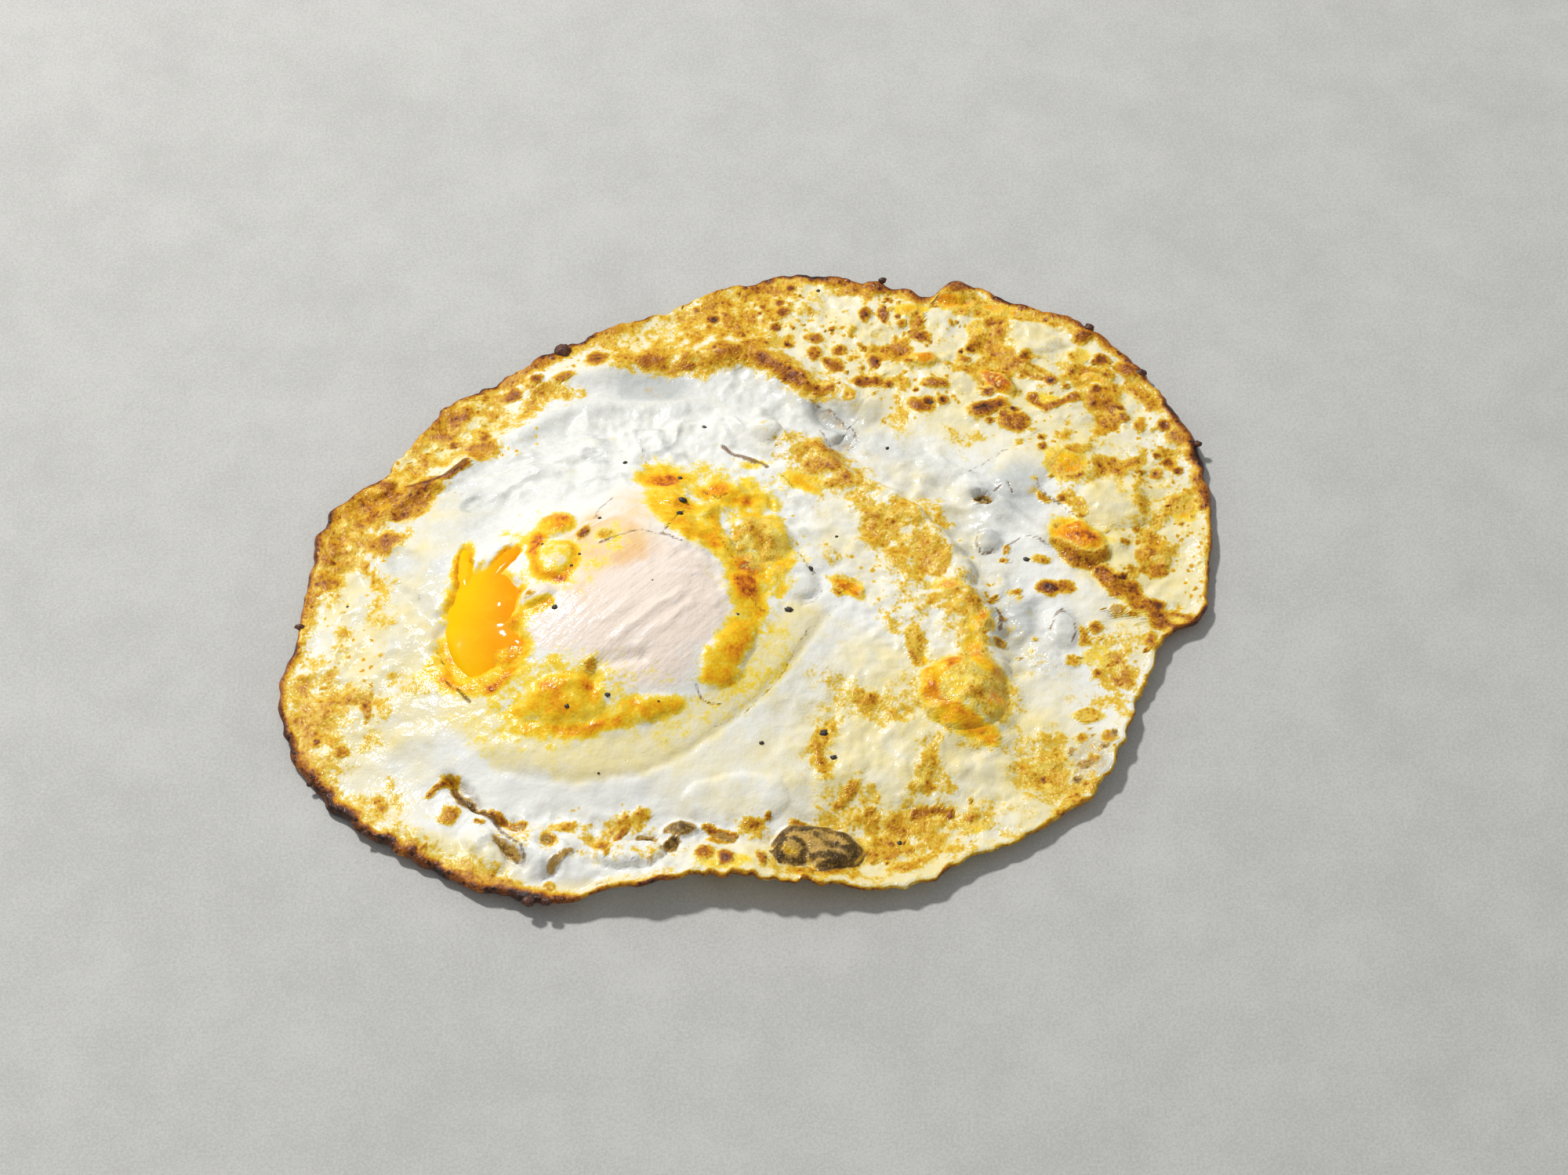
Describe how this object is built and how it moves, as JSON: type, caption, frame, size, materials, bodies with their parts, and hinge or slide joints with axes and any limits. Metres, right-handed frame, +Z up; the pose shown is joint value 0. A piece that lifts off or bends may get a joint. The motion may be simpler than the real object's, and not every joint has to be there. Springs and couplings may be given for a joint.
{
  "type": "fried egg",
  "caption": "Fried egg lying flat: a thin uneven sheet of white with a crisp browned rim, folds and blisters, and a low round yolk set into it under a cooked film.",
  "frame": {"origin": "the middle of the egg's outline box, on the surface that the egg lies on", "axes": "+X along the egg's longer side, +Y across it, away from the side that the picture was taken from, +Z up"},
  "size_m": [0.123, 0.1032, 0.0116],
  "materials": {
    "white": "cooked egg white: cream to bluish white, moist and softly glossy, browned to gold in spots and dark brown along the crisp rim",
    "yolk": "soft egg yolk: deep orange yellow, wet and glossy, slightly translucent",
    "crust": "crisp fried crust: dark reddish brown, greasy sheen on a rough surface",
    "pepper": "cracked black pepper: dark grey brown, dull and broken"
  },
  "bodies": {
    "root": {"egg_white": "white", "yolk": "yolk"}
  },
  "joints": []
}
